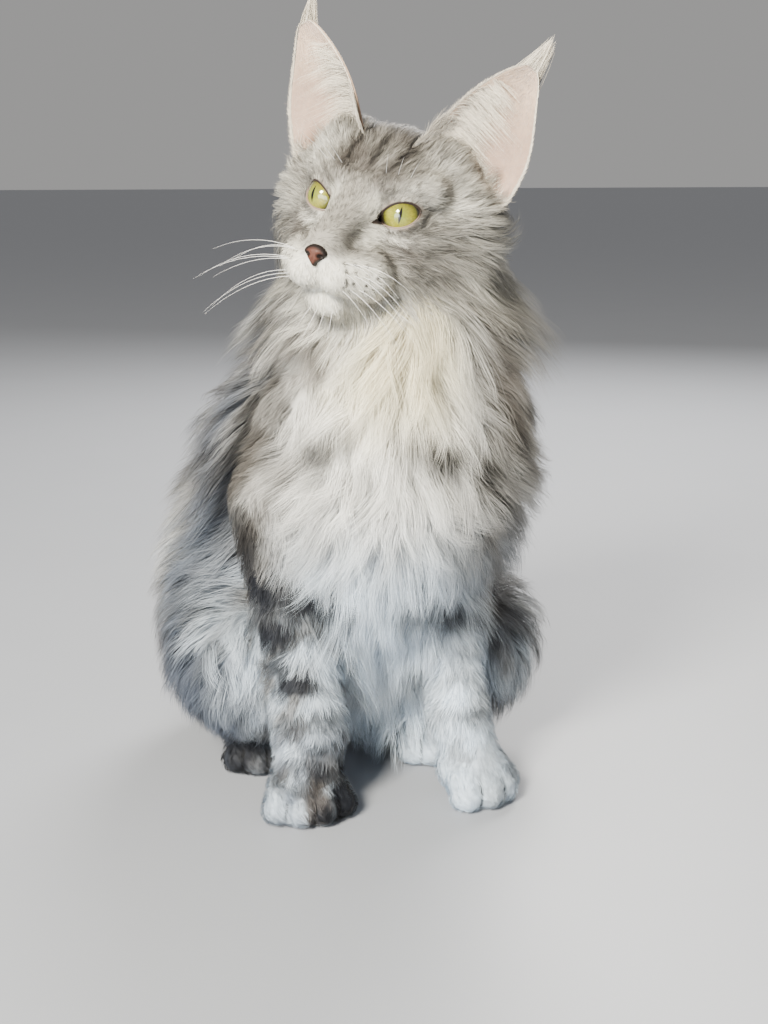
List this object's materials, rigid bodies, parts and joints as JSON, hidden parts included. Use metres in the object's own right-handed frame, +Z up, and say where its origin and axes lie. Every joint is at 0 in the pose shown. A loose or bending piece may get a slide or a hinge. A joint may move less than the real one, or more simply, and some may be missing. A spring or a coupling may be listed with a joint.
{
  "type": "seated maine coon cat figure",
  "caption": "Seated long-haired cat at life size, head turned to its right, with tufted ears, a long ruff and coat in overlapping locks, and a plumed tail laid round behind it.",
  "frame": {"origin": "middle of the bounding box's footprint, on the floor that the cat sits on", "axes": "+Z up, the cat's body faces -Y, and its own left side is +X"},
  "size_m": [0.3084, 0.4334, 0.4533],
  "materials": {
    "coat": "soft silver-grey and cream hair",
    "ear": "short fine hair, pale pink inside",
    "eye": "wet gloss, yellow-green"
  },
  "bodies": {
    "root": {"head": "coat", "eye_right": "eye", "eye_left": "eye", "ear_right": "ear", "ear_left": "ear", "neck": "coat", "chest": "coat", "back": "coat", "rump": "coat", "foreleg_right": "coat", "foreleg_left": "coat", "forepaw_right": "coat", "forepaw_left": "coat", "thigh_right": "coat", "thigh_left": "coat", "hindfoot_right": "coat", "hindfoot_left": "coat", "tail_base": "coat", "tail_middle": "coat", "tail_end": "coat"}
  },
  "joints": []
}
